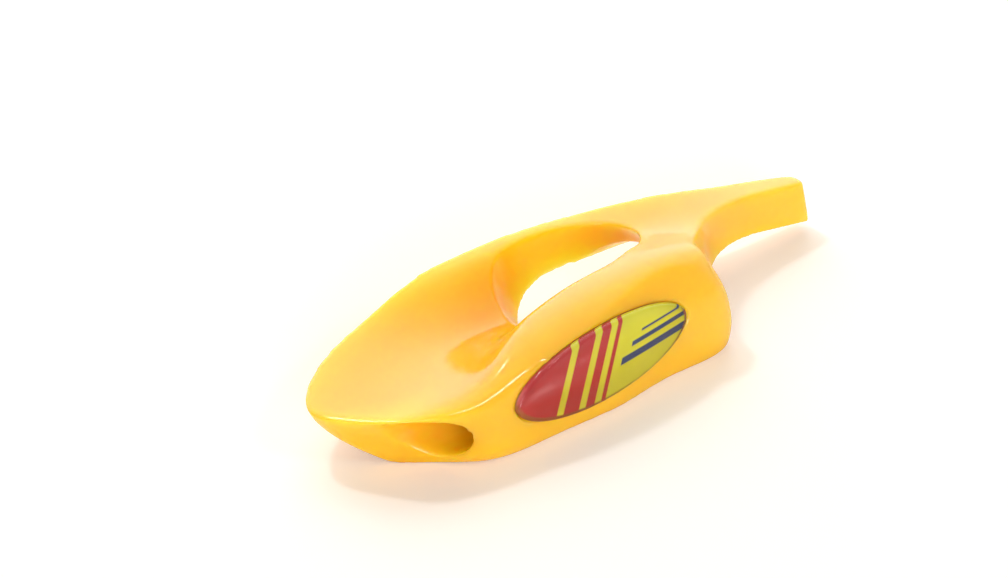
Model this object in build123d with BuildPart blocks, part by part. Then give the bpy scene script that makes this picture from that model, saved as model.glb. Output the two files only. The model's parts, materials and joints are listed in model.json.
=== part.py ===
"""A moulded pen grip: a body with a pen bore, finger ring, fingertip spoon and tail, and a domed label.

The pen lies along X through the origin and is drawn out towards +X, the tail. The label faces -Y.
Heights are above the surface that the grip lies on, and depths are from its label side.
"""

import os

from build123d import *

# Pen bore
bore_diameter = 7.4
bore_floor = 1.8
bore_roof = 1.4
flank_wall = 2.0

# Finger ring, an oval that leans towards the nose as it rises
ring_wall = 1.7
ring_width = 15.2
ring_length = 26.6
ring_centre_x = 14.3
ring_level = 5.0
ring_slant = 0.75
far_wall = 2.2

# Body lengths along X
nose_reach = 35.4
flank_rear = 26.5
tail_reach = 55.5

# Tail
tail_offset = 2.9
tail_root_width = 5.6
tail_root_back = 15.5
tail_tip_width = 3.4
tip_far_corner = 1.4
tip_corner_start = 0.68
tip_corner_middle = 0.28
tip_near_radius = 0.9

# The finger's way out under the bridge and the tail
finger_height = 13.0
saddle_height = 9.9
saddle_slope = 0.202

# Plan outline, with heights where it is drawn: above the rest, below the deck and above the deck
bilge_height = 4.5
rim_drop = 1.1
crest_height = 2.4
lid_height = 5.8
cheek_back = 17.4
cheek_in = 0.9
far_run_back = 27.4
far_run_ahead = 18.5
bow_back = 7.5
bow_share = 0.68
bridge_ahead = 1.5
flank_bulge = 0.6
label_run_ahead = 10.5
rear_corner = [(2.1, 0.9), (0.5, 2.1), (0.0, 3.8)]
notch = [(3.5, 5.2), (7.1, 2.5), (12.4, 0.7), (17.5, 0.0)]

# Top surface: heights over the deck along the flank's crest and the far rim, at stations ahead of the nose,
# behind it, round the ring's centre and the flank's rear, and at the tail's root, its end and beyond
shoulder_depth = 6.3
shoulder_radius = 4.5
crest_near = 5.0
crest_far = 21.0
rim_softness = 1.8
nose_stations = (5.4, 15.4, 24.4)
ring_stations = (-12.3, -2.3)
rear_stations = (-6.5, -0.5, 6.5)
crest_rises = (-0.1, 0.8, 1.4, 2.9, 4.7, 5.3, 4.9, 3.6, 1.8, 0.5, -2.2, -4.3)
far_rises = (-1.9, -0.9, 0.0, 1.4, 2.0, 1.5, 1.0, 1.0, 1.1, 0.5, -2.2, -4.3)

# The spoon across the body, from ahead of the nose to behind the ring's centre: depth of its middle, floor
# below the deck, rise from there to the rim and half width at the rim
spoon_stations = (0.0, 11.4, 18.4, 26.4, 35.4, 43.4)
spoon_depths = (15.5, 15.5, 16.8, 17.0, 17.8, 18.6, 18.7, 18.7)
spoon_floors = (0.9, 1.1, 1.6, 2.3, 3.4, 4.8, 6.0, 7.0)
spoon_rises = (1.0, 1.2, 2.0, 2.7, 5.2, 8.2, 9.5, 10.0)
spoon_halves = (12.0, 12.0, 12.5, 11.9, 8.8, 7.6, 6.6, 6.4)

# Sections that the top surface is lofted through, and points along each
top_sections = 30
section_points = 40

# Label
label_length = 30.0
label_width = 10.0
label_x = 1.5
label_height = 8.3
label_inset = 0.65
label_lean = 14.0
label_turn = 4.0
label_bend_radius = 200.0
pocket_depth = 0.75
label_clearance = 0.15
film_thickness = 0.2
dome_thickness = 0.95
dome_edge_radius = 0.5
dome_edge_share = 0.9

# How far the cutting shapes reach past the body
overrun = 12.0

bore_radius = bore_diameter / 2
rest_z = -(bore_radius + bore_floor)
deck = bore_floor + bore_diameter + bore_roof
near_y = -(bore_radius + flank_wall)
ring_near = bore_radius + ring_wall
ring_far = ring_near + ring_width
ring_mid = (ring_near + ring_far) / 2
far_y = ring_far + far_wall
tail_side = ring_mid - tail_offset
nose_x = -nose_reach
tail_root = tail_reach - tail_root_back

# Waterlines of the hull: height, how far the label side, far side, tail's sides, flank's rear and tail's
# end draw in there, and three points of the bow, each back from the nose and in from the label side
waterlines = [
    (0.0, 0.3, 13.0, 0.0, 0.3, -0.9, (8.6, 11.2), (11.6, 7.2), (18.0, 3.2)),
    (bilge_height, 0.0, 2.0, 0.0, 0.0, 0.1, (3.0, 13.9), (9.4, 8.4), (14.4, 2.6)),
    (deck - rim_drop, 0.7, 0.0, 0.2, 1.2, 1.3, (0.0, 15.2), (4.6, 7.8), (10.6, 3.4)),
    (deck + crest_height, 2.2, 0.0, 0.4, 2.6, 2.0, (-0.8, 15.2), (0.8, 7.6), (6.8, 4.5)),
    (deck + lid_height, 4.4, 0.0, 0.5, 3.8, 2.6, (-2.0, 15.2), (1.0, 8.0), (6.9, 6.0)),
]


def hull_curve(near_in, far_in, tail_in, rear_in, end_in, *bow):
    """Points of the plan outline at one height, from the tail's end round the nose to the notch."""
    near = near_y + near_in
    far = far_y - far_in
    end = tail_reach - end_in
    rear = flank_rear - rear_in
    tail_far = tail_side + tail_root_width - tail_in
    tip_far = tail_side + tail_tip_width - tail_in
    bridge_far = tail_far + bow_share * (far_y - far_in / 2 - tail_far)
    tip, shoulder, turn = [(nose_x + back, near_y + depth) for back, depth in bow]
    label_run = flank_rear - label_run_ahead
    third = (label_run - turn[0]) / 3
    return [
        (end, tip_far - tip_corner_start * tip_far_corner),
        (end - tip_corner_middle * tip_far_corner, tip_far - tip_corner_middle * tip_far_corner),
        (end - tip_far_corner, tip_far),
        (tail_root, tail_far),
        (flank_rear - bridge_ahead, bridge_far),
        (flank_rear - far_run_ahead, far),
        (nose_x + far_run_back, far),
        (nose_x + cheek_back, far - cheek_in),
        (tip[0] + bow_back, tip[1] + bow_share * (far - tip[1])),
        tip,
        shoulder,
        turn,
        (turn[0] + third, near + flank_bulge),
        (turn[0] + 2 * third, near),
        (label_run, near + flank_bulge),
        *[(rear - ahead, near + depth) for ahead, depth in rear_corner],
        *[(rear + behind, tail_side + tail_in - apart) for behind, apart in notch],
    ]


def way_along(points):
    """Each point's share of the way along the run of points."""
    steps = [(Vector(*q) - Vector(*p)).length for p, q in zip(points, points[1:])]
    return [sum(steps[:i]) / sum(steps) for i in range(len(points))]


def spaced(start, end, count):
    return [start + (end - start) * i / (count - 1) for i in range(count)]


def profile(*stations):
    """A smooth curve through stations (x, value), as a function of x."""
    start, end = stations[0][0], stations[-1][0]
    curve = Edge.make_spline(stations, parameters=[(x - start) / (end - start) for x, _ in stations])
    return lambda x: curve.position_at((x - start) / (end - start), position_mode=PositionMode.PARAMETER).Y


front, back = nose_x - overrun, tail_reach + overrun
rim_part = [
    front,
    *[nose_x + behind for behind in nose_stations],
    *[ring_centre_x + behind for behind in ring_stations],
    *[flank_rear + behind for behind in rear_stations],
    tail_root,
    tail_reach,
    back,
]
crest = profile(*zip(rim_part, crest_rises))
far_rim = profile(*zip(rim_part, far_rises))
spoon_part = [front, *[nose_x + behind for behind in spoon_stations], ring_centre_x + overrun]
spoon_middle = profile(*zip(spoon_part, spoon_depths))
spoon_floor = profile(*zip(spoon_part, spoon_floors))
spoon_rise = profile(*zip(spoon_part, spoon_rises))
spoon_half = profile(*zip(spoon_part, spoon_halves))


def top_height(x, depth):
    """Height of the top surface, where the spoon runs softly into the crest and the far rim."""
    way = min(max((depth - crest_near) / (crest_far - crest_near), 0), 1)
    share = 1 - way * way * (3 - 2 * way)
    drop = max(shoulder_depth - depth, 0) ** 2 / (2 * shoulder_radius)
    rim = far_rim(x) + share * (crest(x) - far_rim(x)) - drop
    if x > ring_centre_x:
        return deck + rim
    spoon = spoon_rise(x) * ((depth - spoon_middle(x)) / spoon_half(x)) ** 2 - spoon_floor(x)
    return deck + (rim + spoon - ((rim - spoon) ** 2 + rim_softness**2) ** 0.5) / 2


# The label's own planes: its face, and a section across it that looks along its short way
label_centre = Vector(label_x, near_y + label_inset, rest_z + label_height)
label_out = Vector(0, -1, 0).rotate(Axis.X, -label_lean)
label_along = Vector(1, 0, 0).rotate(Axis((0, 0, 0), label_out), label_turn)
label_face = Plane(label_centre, x_dir=label_along, z_dir=label_out)
label_section = Plane(label_centre, x_dir=label_along, z_dir=-label_face.y_dir)
film_level = film_thickness - pocket_depth
dome_level = film_level + dome_thickness


def bent_layer(low, high):
    """Outline of a layer that follows the flank's bend, between two heights over the label's face."""
    reach = label_length
    sag = label_bend_radius - (label_bend_radius**2 - reach**2) ** 0.5
    ThreePointArc((-reach, low - sag), (0, low), (reach, low - sag))
    ThreePointArc((-reach, high - sag), (0, high), (reach, high - sag))
    Line((-reach, low - sag), (-reach, high - sag))
    Line((reach, low - sag), (reach, high - sag))


with BuildPart() as label_pocket:
    with BuildSketch(label_section):
        with BuildLine():
            bent_layer(-pocket_depth, overrun)
        make_face()
    extrude(amount=label_width, both=True)
    with BuildSketch(label_face):
        Ellipse(label_length / 2 + label_clearance, label_width / 2 + label_clearance)
    extrude(amount=label_width, both=True, mode=Mode.INTERSECT)

with BuildPart() as label_film:
    with BuildSketch(label_section):
        with BuildLine():
            bent_layer(-pocket_depth, film_level)
        make_face()
    extrude(amount=label_width, both=True)
    with BuildSketch(label_face):
        Ellipse(label_length / 2, label_width / 2)
    extrude(amount=label_width, both=True, mode=Mode.INTERSECT)

with BuildPart() as label_dome:
    with BuildSketch(label_section):
        with BuildLine():
            bent_layer(film_level, dome_level)
        make_face()
    extrude(amount=label_width, both=True)
    with BuildSketch(label_face):
        Ellipse(label_length / 2, label_width / 2)
    extrude(amount=label_width, both=True, mode=Mode.INTERSECT)
    outer_face = label_dome.faces().sort_by(Axis(label_centre, label_out))[-1]
    fillet(outer_face.edges(), min(dome_edge_radius, dome_edge_share * dome_thickness))

with BuildPart() as grip_body:
    # The hull, with the same knots at every waterline so that its skin stays even
    levels = [way_along(hull_curve(*insets)) for height, *insets in waterlines]
    hull_knots = [sum(knots) / len(knots) for knots in zip(*levels)]
    for height, *insets in waterlines:
        with BuildSketch(Plane.XY.offset(rest_z + height)):
            with BuildLine():
                curve = hull_curve(*insets)
                add(Edge.make_spline(curve, parameters=hull_knots))
                Polyline(curve[-1], (curve[0][0], curve[-1][1]), curve[0])
            make_face()
    loft()

    tip_corner = grip_body.edges().sort_by_distance((tail_reach, tail_side, rest_z + deck / 2))[0]
    fillet(tip_corner, tip_near_radius)

    # The top surface and the fingertip spoon
    lid = rest_z + deck + 2 * overrun
    for depth in spaced(-overrun / 2, far_y - near_y + overrun / 2, top_sections):
        with BuildSketch(Plane.XZ.offset(-(near_y + depth))):
            with BuildLine():
                points = [(x, rest_z + top_height(x, depth)) for x in spaced(front, back, section_points)]
                add(Edge.make_spline(points, parameters=spaced(0, 1, section_points)))
                Polyline(points[-1], (back, lid), (front, lid), points[0])
            make_face()
    loft(mode=Mode.SUBTRACT)

    # The finger ring
    with BuildSketch(Plane.XY.offset(rest_z + ring_level)):
        with Locations((ring_centre_x, ring_mid)):
            Ellipse(ring_length / 2, ring_width / 2)
    extrude(amount=2 * overrun, dir=(-ring_slant, 0, 1), both=True, mode=Mode.SUBTRACT)

    # The finger's way out under the bridge and the tail
    saddle = Vector(ring_centre_x, ring_mid, rest_z + saddle_height - finger_height / 2)
    with BuildSketch(Plane(saddle, x_dir=(0, 1, 0), z_dir=(1, 0, -saddle_slope))):
        Ellipse(ring_width / 2, finger_height / 2)
    extrude(amount=tail_reach, mode=Mode.SUBTRACT)

    # The pen bore
    with BuildSketch(Plane.YZ.offset(nose_x - overrun)):
        Circle(bore_radius)
    extrude(amount=nose_reach + flank_rear + 2 * overrun, mode=Mode.SUBTRACT)

    add(label_pocket.part, mode=Mode.SUBTRACT)

grip_body.part.label = "grip_body"
label_film.part.label = "label_film"
label_dome.part.label = "label_dome"

os.makedirs("parts", exist_ok=True)
export_step(grip_body.part, "parts/grip_body.step")
export_step(label_film.part, "parts/label_film.step")
export_step(label_dome.part, "parts/label_dome.step")
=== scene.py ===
# %% [markdown]
# # A moulded pen grip
# The object is a small yellow pen grip that lies on a white table. A pen is pushed through its bore, the
# index finger goes down through its ring, and a fingertip rests in the spoon in front. This lesson dresses
# the solid model: it rounds the moulding's edges, gives the plastic, the printed label and its clear dome
# their finishes, and sets the floor, the light and the camera.

# %% Load the solid model
import json
import math

import bmesh
import bpy
from mathutils import Matrix, Vector

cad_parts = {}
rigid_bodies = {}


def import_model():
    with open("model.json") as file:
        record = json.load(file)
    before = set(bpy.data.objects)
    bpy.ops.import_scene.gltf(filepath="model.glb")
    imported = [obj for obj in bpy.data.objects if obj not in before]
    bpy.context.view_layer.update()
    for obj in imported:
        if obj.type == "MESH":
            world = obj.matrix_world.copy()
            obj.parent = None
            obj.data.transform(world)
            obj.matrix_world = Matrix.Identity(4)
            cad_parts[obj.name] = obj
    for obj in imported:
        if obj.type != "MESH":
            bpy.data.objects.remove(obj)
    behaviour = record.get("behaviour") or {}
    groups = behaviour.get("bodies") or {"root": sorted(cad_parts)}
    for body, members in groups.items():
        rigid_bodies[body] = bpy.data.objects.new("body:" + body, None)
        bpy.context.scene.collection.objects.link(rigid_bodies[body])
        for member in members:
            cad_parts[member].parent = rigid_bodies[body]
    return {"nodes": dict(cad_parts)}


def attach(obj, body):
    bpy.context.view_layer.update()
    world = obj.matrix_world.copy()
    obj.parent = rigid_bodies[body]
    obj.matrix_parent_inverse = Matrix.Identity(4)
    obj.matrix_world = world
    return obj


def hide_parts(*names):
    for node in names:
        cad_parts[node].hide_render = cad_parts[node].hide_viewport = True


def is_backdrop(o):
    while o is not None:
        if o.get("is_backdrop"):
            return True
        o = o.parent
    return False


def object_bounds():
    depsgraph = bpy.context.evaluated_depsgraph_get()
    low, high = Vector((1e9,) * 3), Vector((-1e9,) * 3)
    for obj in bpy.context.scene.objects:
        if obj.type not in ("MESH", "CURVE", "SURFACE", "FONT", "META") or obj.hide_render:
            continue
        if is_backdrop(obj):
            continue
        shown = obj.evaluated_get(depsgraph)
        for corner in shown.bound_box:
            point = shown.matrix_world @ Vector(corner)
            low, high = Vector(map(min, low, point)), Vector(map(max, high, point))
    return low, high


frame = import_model()
solid_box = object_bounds()
MM = 0.001
box_in_mm = [[round(c / MM, 1) for c in corner] for corner in solid_box]
print("pieces:", sorted(frame["nodes"]), "box in mm:", box_in_mm)

# %% [markdown]
# ## The rounded moulding
# A real moulding has no sharp edges, because the steel of the mould is rounded and polished: here the rims of
# the spoon, the ring and the bore's mouth all catch a soft line of light. A Bevel modifier needs clean quads,
# and a solid model's triangles aren't that. So a copy of the body is merged into one skin, remeshed into very
# small even quads and smoothed: broad faces stay where they are, and each edge takes a radius of about half a
# millimetre. The label's pocket is smoothed less, so that its rim stays crisp, and the rim of the bow is
# smoothed more, because a fingertip slides over it. Decimating then thins the smooth skin.

# %% Copy the body and merge its loose triangles
MERGE_DISTANCE = 0.002 * MM


def merged_copy(node_name, piece_name):
    skin = bmesh.new()
    skin.from_mesh(frame["nodes"][node_name].data)
    bmesh.ops.remove_doubles(skin, verts=skin.verts, dist=MERGE_DISTANCE)
    mesh = bpy.data.meshes.new(piece_name)
    skin.to_mesh(mesh)
    skin.free()
    piece = bpy.data.objects.new(piece_name, mesh)
    bpy.context.scene.collection.objects.link(piece)
    return piece


body_skin = merged_copy("grip_body", "grip_body_skin")
print("merged body:", len(body_skin.data.vertices), "vertices")

# %% Remesh it evenly
VOXEL = 0.20 * MM


def applied(piece):
    """Replaces the piece's mesh by what its modifier makes of it, and counts the faces."""
    graph = bpy.context.evaluated_depsgraph_get()
    mesh = bpy.data.meshes.new_from_object(piece.evaluated_get(graph))
    piece.modifiers.clear()
    piece.data = mesh
    return len(mesh.polygons)


def remeshed(piece, voxel):
    even = piece.modifiers.new("even quads", "REMESH")
    even.mode = "VOXEL"
    even.voxel_size = voxel
    return applied(piece)


print("fine skin:", remeshed(body_skin, VOXEL), "faces")

# %% Find the label's own axes
LABEL_LENGTH = 30.0 * MM
LABEL_WIDTH = 10.0 * MM
LABEL_FACING = -0.9
POCKET_REACH = 2.0 * MM
FAR_AWAY = 9.0


def label_axes():
    film = frame["nodes"]["label_film"].data
    points = [v.co.copy() for v in film.vertices]
    centre = sum(points, Vector()) / len(points)
    out = sum((p.normal for p in film.polygons if p.normal.y < LABEL_FACING), Vector()).normalized()
    along = max(points, key=lambda p: p.x) - min(points, key=lambda p: p.x)
    along = (along - out * along.dot(out)).normalized()
    return centre, along, out.cross(along), out


label_centre, label_along, label_across, label_out = label_axes()


def label_reach(point):
    """How far out from the label's middle a point lies, with 1 at the oval's edge."""
    off = point - label_centre
    if abs(off.dot(label_out)) > POCKET_REACH:
        return FAR_AWAY
    return math.hypot(off.dot(label_along) / (LABEL_LENGTH / 2), off.dot(label_across) / (LABEL_WIDTH / 2))


print("label centre in mm:", [round(c / MM, 2) for c in label_centre])

# %% Round every edge by smoothing, the pocket's rim less than the rest and the bow's rim more
POCKET_PASSES = 5
EDGE_PASSES = 20
BOW_PASSES = 40
POCKET_RIM = 1.12
BOW_END = -8 * MM
BOW_FLOOR = 1.5 * MM
SKIN_TRIANGLES = 160000


def smoothed(piece, passes, chosen=lambda point: True):
    skin = bmesh.new()
    skin.from_mesh(piece.data)
    verts = [v for v in skin.verts if chosen(v.co)]
    for _ in range(passes):
        bmesh.ops.smooth_vert(
            skin, verts=verts, factor=0.5, use_axis_x=True, use_axis_y=True, use_axis_z=True
        )
    for face in skin.faces:
        face.smooth = True
    skin.to_mesh(piece.data)
    skin.free()
    return len(verts)


def thinned(piece, triangles):
    fewer = piece.modifiers.new("fewer triangles", "DECIMATE")
    fewer.ratio = triangles / (2 * len(piece.data.polygons))
    return applied(piece)


def off_the_pocket(point):
    return label_reach(point) > POCKET_RIM


def on_the_bow(point):
    return point.x < BOW_END and point.z > BOW_FLOOR


print("pocket and all else:", smoothed(body_skin, POCKET_PASSES), "points")
print("all but the pocket:", smoothed(body_skin, EDGE_PASSES, off_the_pocket), "points")
print("rim of the bow:", smoothed(body_skin, BOW_PASSES, on_the_bow), "points")
print("thinner skin:", thinned(body_skin, SKIN_TRIANGLES), "faces")
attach(body_skin, "root")
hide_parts("grip_body")

# %% [markdown]
# ## Small unevenness, shared by the finishes
# No moulded or printed surface is perfectly even. Pigment clouds a little in the melt, a polished mould
# leaves a faint orange peel, and handling leaves fine dull marks. All three finishes here need that at their
# own scale, so it is one node group with a cloud mask, a dull-mark mask and a height, all from noise on
# Object coordinates.

# %% Build the unevenness group
CLOUD_FROM, CLOUD_TO = 0.35, 0.65
MARKS_FROM, MARKS_TO = 0.5, 0.75


def new_group(name, inputs, outputs):
    group = bpy.data.node_groups.new(name, "ShaderNodeTree")
    for socket_name, kind, value in inputs:
        socket = group.interface.new_socket(socket_name, in_out="INPUT", socket_type=kind)
        socket.default_value = value
    for socket_name, kind in outputs:
        group.interface.new_socket(socket_name, in_out="OUTPUT", socket_type=kind)
    return group, group.nodes.new("NodeGroupInput"), group.nodes.new("NodeGroupOutput")


def noise(tree, scale_from, detail, roughness=0.5):
    node = tree.nodes.new("ShaderNodeTexNoise")
    node.inputs["Detail"].default_value = detail
    node.inputs["Roughness"].default_value = roughness
    place = tree.nodes.new("ShaderNodeTexCoord")
    tree.links.new(place.outputs["Object"], node.inputs["Vector"])
    tree.links.new(scale_from, node.inputs["Scale"])
    return node.outputs["Fac"]


def ranged(tree, value, low, high, to_low, to_high):
    """Maps a value from one range to another and holds it there."""
    node = tree.nodes.new("ShaderNodeMapRange")
    for name, number in (("From Min", low), ("From Max", high), ("To Min", to_low), ("To Max", to_high)):
        node.inputs[name].default_value = number
    tree.links.new(value, node.inputs["Value"])
    return node.outputs["Result"]


uneven, given, made = new_group(
    "uneven surface",
    [
        ("Cloud Scale", "NodeSocketFloat", 60.0),
        ("Mark Scale", "NodeSocketFloat", 900.0),
        ("Peel Scale", "NodeSocketFloat", 1400.0),
    ],
    [("Cloud", "NodeSocketFloat"), ("Marks", "NodeSocketFloat"), ("Height", "NodeSocketFloat")],
)
cloud_noise = noise(uneven, given.outputs["Cloud Scale"], detail=3.0)
mark_noise = noise(uneven, given.outputs["Mark Scale"], detail=6.0, roughness=0.7)
peel_noise = noise(uneven, given.outputs["Peel Scale"], detail=2.0)
uneven.links.new(ranged(uneven, cloud_noise, CLOUD_FROM, CLOUD_TO, 0.0, 1.0), made.inputs["Cloud"])
uneven.links.new(ranged(uneven, mark_noise, MARKS_FROM, MARKS_TO, 0.0, 1.0), made.inputs["Marks"])
uneven.links.new(peel_noise, made.inputs["Height"])
print("group:", uneven.name, "with", len(uneven.nodes), "nodes")

# %% [markdown]
# ## The yellow plastic
# The body is a glossy, slightly see-through yellow: light goes in, scatters and comes out again, so thin
# walls and rims glow and hollows turn orange instead of grey. Subsurface scattering does that. A clouded
# colour and fine dull marks keep it from looking like flat paint.

# %% Make the yellow plastic
DEEP_YELLOW = (1.0, 0.530, 0.022, 1.0)
LIGHT_YELLOW = (1.0, 0.565, 0.030, 1.0)
POLISHED, MARKED = 0.12, 0.18
SCATTER_BY_COLOUR = (0.5, 1.0, 0.4)
SCATTER_DEPTH = 7.0 * MM


def new_material(name):
    material = bpy.data.materials.new(name)
    material.use_nodes = True
    tree = material.node_tree
    return material, tree, tree.nodes["Principled BSDF"]


def add_uneven(tree, cloud_scale, mark_scale, peel_scale):
    node = tree.nodes.new("ShaderNodeGroup")
    node.node_tree = uneven
    node.inputs["Cloud Scale"].default_value = cloud_scale
    node.inputs["Mark Scale"].default_value = mark_scale
    node.inputs["Peel Scale"].default_value = peel_scale
    return node


def mixed(tree, share, first, second):
    """A colour between two others, each of them fixed or taken from another node."""
    node = tree.nodes.new("ShaderNodeMix")
    node.data_type = "RGBA"
    tree.links.new(share, node.inputs["Factor"])
    for name, value in (("A", first), ("B", second)):
        socket = [s for s in node.inputs if s.name == name and s.type == "RGBA"][0]
        if isinstance(value, tuple):
            socket.default_value = value
        else:
            tree.links.new(value, socket)
    return [s for s in node.outputs if s.type == "RGBA"][0]


def bumped(tree, height, distance, strength):
    node = tree.nodes.new("ShaderNodeBump")
    node.inputs["Strength"].default_value = strength
    node.inputs["Distance"].default_value = distance
    tree.links.new(height, node.inputs["Height"])
    return node.outputs["Normal"]


def dress(piece, material):
    piece.data.materials.clear()
    piece.data.materials.append(material)


yellow, tree, shader = new_material("yellow plastic")
surface = add_uneven(tree, cloud_scale=70.0, mark_scale=1100.0, peel_scale=900.0)
colour = mixed(tree, surface.outputs["Cloud"], DEEP_YELLOW, LIGHT_YELLOW)
roughness = ranged(tree, surface.outputs["Marks"], 0.0, 1.0, POLISHED, MARKED)
tree.links.new(colour, shader.inputs["Base Color"])
tree.links.new(roughness, shader.inputs["Roughness"])
peel = bumped(tree, surface.outputs["Height"], distance=0.02 * MM, strength=0.12)
tree.links.new(peel, shader.inputs["Normal"])
shader.inputs["Subsurface Weight"].default_value = 1.0
shader.inputs["Subsurface Radius"].default_value = SCATTER_BY_COLOUR
shader.inputs["Subsurface Scale"].default_value = SCATTER_DEPTH
shader.inputs["IOR"].default_value = 1.5
dress(body_skin, yellow)
print("material:", yellow.name)

# %% [markdown]
# ## The label's print
# A small oval sticker lies at the bottom of a shallow pocket. Its print is a plain sporty design: a lime
# field with slanted red bars that thin out towards the rear and three blue pinstripes behind them. A thin
# brown ring along the oval's edge is painted shade, standing for the shaded rim of the pocket. Everything is
# worked out from two coordinates, along and across the oval, which a Mapping node turns to lie with it.

# %% Lift the sticker into the resin
# The resin wets the sticker, so there is no air between them: the sticker's copy reaches a hair into it.
STICKER_SHRINK = (0.997, 1.0, 0.995)
STICKER_LIFT = 0.04 * MM

sticker = merged_copy("label_film", "label_print")
lift = bmesh.new()
lift.from_mesh(sticker.data)
bmesh.ops.translate(lift, verts=lift.verts, vec=-label_centre)
bmesh.ops.scale(lift, verts=lift.verts, vec=STICKER_SHRINK)
bmesh.ops.translate(lift, verts=lift.verts, vec=label_centre + label_out * STICKER_LIFT)
lift.to_mesh(sticker.data)
lift.free()
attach(sticker, "root")
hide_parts("label_film")
label_turn = Matrix((label_along, label_across, label_out)).transposed().to_euler()
turn_in_degrees = [round(math.degrees(a), 1) for a in label_turn]
print("sticker:", len(sticker.data.polygons), "faces, turned", turn_in_degrees)

# %% Print the oval
# Bars and stripes are in millimetres from the label's middle. The bars lean, and so do the stripes' ends.
LEAN = 0.6
BARS = ((-20.0, -7.4), (-6.2, -3.4), (-2.2, -0.6), (0.6, 1.4))
STRIPES = ((-1.7, -0.8, 3.0), (0.0, 0.6, 4.4), (1.3, 1.6, 5.8))
# Where the painted shade ring along the oval's edge begins, and how soft it is: it stands for the pocket's
# shaded rim.
RIM_SHADE_AT, RIM_SHADE_BLUR = 0.965, 0.01
INK_BLUR = 0.06
INK_SATIN, INK_MATT = 0.35, 0.45
LIME = (0.80, 0.77, 0.014, 1.0)
LIGHT_LIME = (0.86, 0.82, 0.020, 1.0)
RED = (0.58, 0.008, 0.012, 1.0)
BLUE = (0.010, 0.045, 0.22, 1.0)
# Brown of the painted shade along the oval's edge.
PAINTED_RIM_SHADE = (0.42, 0.09, 0.012, 1.0)


def label_place(tree):
    """Places along and across the label, in millimetres from its middle."""
    place = tree.nodes.new("ShaderNodeTexCoord")
    turned = tree.nodes.new("ShaderNodeMapping")
    turned.vector_type = "TEXTURE"
    turned.inputs["Location"].default_value = label_centre
    turned.inputs["Rotation"].default_value = label_turn
    turned.inputs["Scale"].default_value = (MM, MM, MM)
    tree.links.new(place.outputs["Object"], turned.inputs["Vector"])
    split = tree.nodes.new("ShaderNodeSeparateXYZ")
    tree.links.new(turned.outputs["Vector"], split.inputs["Vector"])
    return split.outputs["X"], split.outputs["Y"]


def worked(tree, operation, first, second=0.0):
    node = tree.nodes.new("ShaderNodeMath")
    node.operation = operation
    for socket, value in zip(node.inputs, (first, second)):
        if isinstance(value, (int, float)):
            socket.default_value = value
        else:
            tree.links.new(value, socket)
    return node.outputs["Value"]


def edge(tree, value, at, blur=INK_BLUR):
    return ranged(tree, value, at - blur, at + blur, 0.0, 1.0)


def between(tree, value, low, high):
    below = worked(tree, "SUBTRACT", 1.0, edge(tree, value, high))
    return worked(tree, "MULTIPLY", edge(tree, value, low), below)


def squared_share(tree, value, whole):
    return worked(tree, "POWER", worked(tree, "DIVIDE", value, whole), 2.0)


print_and_rim_shade, tree, shader = new_material("label print and painted rim shade")
along, across = label_place(tree)
leaning = worked(tree, "SUBTRACT", along, worked(tree, "MULTIPLY", across, LEAN))
surface = add_uneven(tree, cloud_scale=200.0, mark_scale=2500.0, peel_scale=2500.0)
picture = mixed(tree, surface.outputs["Cloud"], LIME, LIGHT_LIME)
for low, high in BARS:
    picture = mixed(tree, between(tree, leaning, low, high), picture, RED)
for low, high, start in STRIPES:
    stripe = worked(tree, "MULTIPLY", between(tree, across, low, high), edge(tree, leaning, start))
    picture = mixed(tree, stripe, picture, BLUE)
round_x = squared_share(tree, along, LABEL_LENGTH / 2 / MM)
round_y = squared_share(tree, across, LABEL_WIDTH / 2 / MM)
oval = worked(tree, "SQRT", worked(tree, "ADD", round_x, round_y))
# A thin brown ring along the oval's edge: painted shade of the pocket's rim, not ink.
picture = mixed(tree, edge(tree, oval, RIM_SHADE_AT, RIM_SHADE_BLUR), picture, PAINTED_RIM_SHADE)
roughness = ranged(tree, surface.outputs["Marks"], 0.0, 1.0, INK_SATIN, INK_MATT)
tree.links.new(picture, shader.inputs["Base Color"])
tree.links.new(roughness, shader.inputs["Roughness"])
dress(sticker, print_and_rim_shade)
print("material:", print_and_rim_shade.name, "with", len(tree.nodes), "nodes")

# %% [markdown]
# ## The clear dome
# Clear resin was poured over the sticker and pulled itself into a low cushion with a rounded edge. It is
# plain glass to a renderer: full transmission, a low refraction index, and a very slight ripple, because cast
# resin is never as flat as window glass. Its mirror shine is turned down, so that the white table doesn't
# veil the print.

# %% Make the resin dome
RESIN_TINT = (1.0, 0.99, 0.96, 1.0)
RESIN_CLEAR, RESIN_DULL = 0.02, 0.06

resin, tree, shader = new_material("clear resin")
surface = add_uneven(tree, cloud_scale=150.0, mark_scale=2000.0, peel_scale=260.0)
roughness = ranged(tree, surface.outputs["Marks"], 0.0, 1.0, RESIN_CLEAR, RESIN_DULL)
tree.links.new(roughness, shader.inputs["Roughness"])
ripple = bumped(tree, surface.outputs["Height"], distance=0.05 * MM, strength=0.2)
tree.links.new(ripple, shader.inputs["Normal"])
shader.inputs["Base Color"].default_value = RESIN_TINT
shader.inputs["Transmission Weight"].default_value = 1.0
shader.inputs["IOR"].default_value = 1.42
shader.inputs["Specular IOR Level"].default_value = 0.2
dress(frame["nodes"]["label_dome"], resin)
print("material:", resin.name)

# %% [markdown]
# ## The table
# The grip lies on a seamless white sweep. It is one large plane, a little bigger than any view needs. It is
# white by its own colour, with a trace of cool glow for the camera alone, so that the background burns out to
# white while the soft, warm shadow stays.

# %% Lay the floor
FLOOR_HALF = 3.0
FLOOR_WHITE = (0.95, 0.95, 0.95, 1.0)
GLOW_COLOUR = (0.4, 0.72, 1.0, 1.0)
GLOW = 0.22

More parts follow.
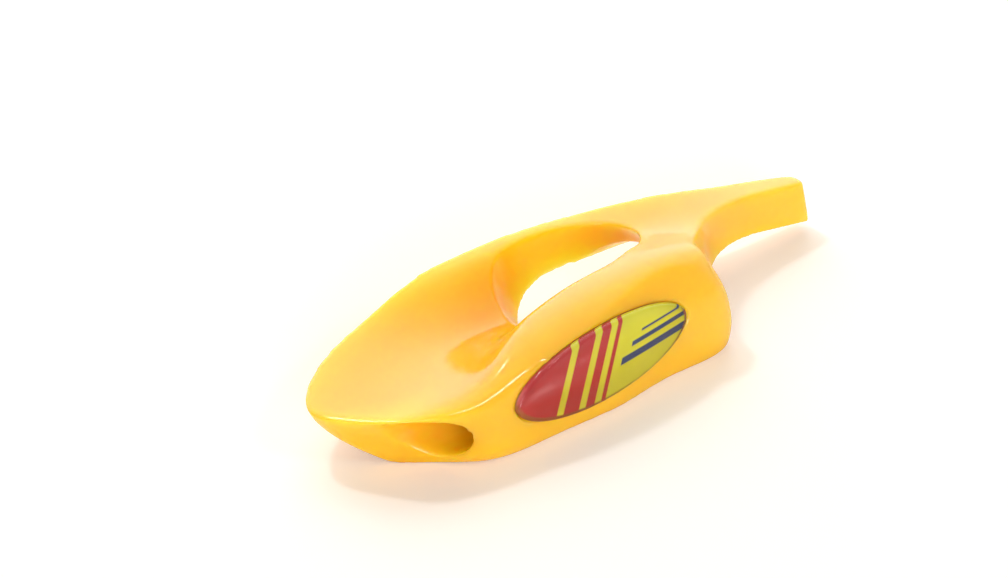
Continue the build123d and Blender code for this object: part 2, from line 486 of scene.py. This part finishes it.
floor_level = solid_box[0].z
sheet = bmesh.new()
bmesh.ops.create_grid(sheet, x_segments=1, y_segments=1, size=FLOOR_HALF)
bmesh.ops.translate(sheet, verts=sheet.verts, vec=(0.0, 0.0, floor_level))
floor_mesh = bpy.data.meshes.new("floor")
sheet.to_mesh(floor_mesh)
sheet.free()
floor = bpy.data.objects.new("floor", floor_mesh)
bpy.context.scene.collection.objects.link(floor)
floor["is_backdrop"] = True

paper, tree, shader = new_material("white sweep")
shader.inputs["Base Color"].default_value = FLOOR_WHITE
shader.inputs["Roughness"].default_value = 0.8
shader.inputs["Specular IOR Level"].default_value = 0.1
shader.inputs["Emission Color"].default_value = GLOW_COLOUR
rays = tree.nodes.new("ShaderNodeLightPath")
glow = worked(tree, "MULTIPLY", rays.outputs["Is Camera Ray"], GLOW)
tree.links.new(glow, shader.inputs["Emission Strength"])
dress(floor, paper)
print("floor at", round(floor_level / MM, 2), "mm")

# %% [markdown]
# ## The light
# The light is broad and soft, and comes mostly from behind. A wide panel stands back there, a low lamp fills
# in from the front left, and two small spots draw the white glints on the rims. The room itself is warm, so
# shadows turn orange, as they do beside yellow plastic. What the gloss mirrors is a white room that brightens
# smoothly towards the back, up to the panel's own brightness: a soft sheen without the hard edge that the
# panel's mirror image would have. So the panel itself is hidden from the gloss.

# %% Hang the lamps
# Each lamp's name, place and width in metres, power in watts, and whether the gloss mirrors it.
LAMPS = (
    ("back panel", (0.22, 0.44, 0.42), 0.66, 3.0, False),
    ("nose spot", (-0.05, 0.25, 0.45), 0.05, 0.5, True),
    ("rim spot", (0.10, -0.36, 0.38), 0.06, 0.25, True),
    ("low front fill", (-0.28, -0.54, 0.14), 0.35, 2.4, True),
)


def softbox(name, place, aim, size, power, mirrored):
    lamp = bpy.data.lights.new(name, "AREA")
    lamp.shape = "SQUARE"
    lamp.size = size
    lamp.energy = power
    lamp_object = bpy.data.objects.new(name, lamp)
    lamp_object.location = place
    lamp_object.rotation_euler = (Vector(aim) - Vector(place)).to_track_quat("-Z", "Y").to_euler()
    lamp_object.visible_glossy = mirrored
    bpy.context.scene.collection.objects.link(lamp_object)


middle = (solid_box[0] + solid_box[1]) / 2
for name, place, size, power, mirrored in LAMPS:
    softbox(name, place, middle, size, power, mirrored)

# %% Light the room
ROOM_COLOUR = (1.0, 0.66, 0.30, 1.0)
ROOM_LIGHT = 0.46
WHITE = (1.0, 1.0, 1.0, 1.0)
BACKGROUND = 1.0
BRIGHT_SIDE = (0.45, 0.66, 0.60)
SHEEN_FROM = 0.1
DIM_SHEEN, BRIGHT_SHEEN = 0.5, 2.2

world = bpy.data.worlds.new("white room")
bpy.context.scene.world = world
world.use_nodes = True
tree = world.node_tree
sky = tree.nodes["Background"]
rays = tree.nodes.new("ShaderNodeLightPath")
mirror = worked(tree, "MAXIMUM", rays.outputs["Is Glossy Ray"], rays.outputs["Is Transmission Ray"])
seen = worked(tree, "MAXIMUM", rays.outputs["Is Camera Ray"], mirror)
outward = tree.nodes.new("ShaderNodeTexCoord")
towards = tree.nodes.new("ShaderNodeVectorMath")
towards.operation = "DOT_PRODUCT"
tree.links.new(outward.outputs["Generated"], towards.inputs[0])
towards.inputs[1].default_value = Vector(BRIGHT_SIDE).normalized()
sheen = ranged(tree, towards.outputs["Value"], SHEEN_FROM, 1.0, DIM_SHEEN, BRIGHT_SHEEN)
room = ranged(tree, rays.outputs["Is Camera Ray"], 0.0, 1.0, ROOM_LIGHT, BACKGROUND)
room = worked(tree, "MULTIPLY", room, worked(tree, "SUBTRACT", 1.0, mirror))
strength = worked(tree, "ADD", room, worked(tree, "MULTIPLY", mirror, sheen))
tree.links.new(strength, sky.inputs["Strength"])
tree.links.new(mixed(tree, seen, ROOM_COLOUR, WHITE), sky.inputs["Color"])
print("world:", world.name, "with", len(tree.nodes), "nodes")

# %% [markdown]
# ## The camera
# The camera stands where the photograph's did: about 33 degrees above the table, in front of the nose and to
# the label's side, with a long lens.

# %% Set the camera
CAMERA_PLACE = Vector((-176.9, -196.9, 184.0)) * MM
CAMERA_TARGET = Vector((10.7, 26.7, -5.5)) * MM

lens = bpy.data.cameras.new("camera")
lens.sensor_width = 36.0
lens.lens = 87.1
lens.clip_start = 0.01
camera = bpy.data.objects.new("camera", lens)
camera.location = CAMERA_PLACE
camera.rotation_euler = (CAMERA_TARGET - CAMERA_PLACE).to_track_quat("-Z", "Y").to_euler()
bpy.context.scene.collection.objects.link(camera)
bpy.context.scene.camera = camera
bpy.context.scene.view_settings.view_transform = "Standard"
print("camera to target:", round((CAMERA_TARGET - CAMERA_PLACE).length / MM), "mm")

# %% Compare the dressed size with the solid's and finish
dressed_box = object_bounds()
grown = [[round((a - b) / MM, 2) for a, b in zip(d, s)] for d, s in zip(dressed_box, solid_box)]
print("grown by mm:", grown)
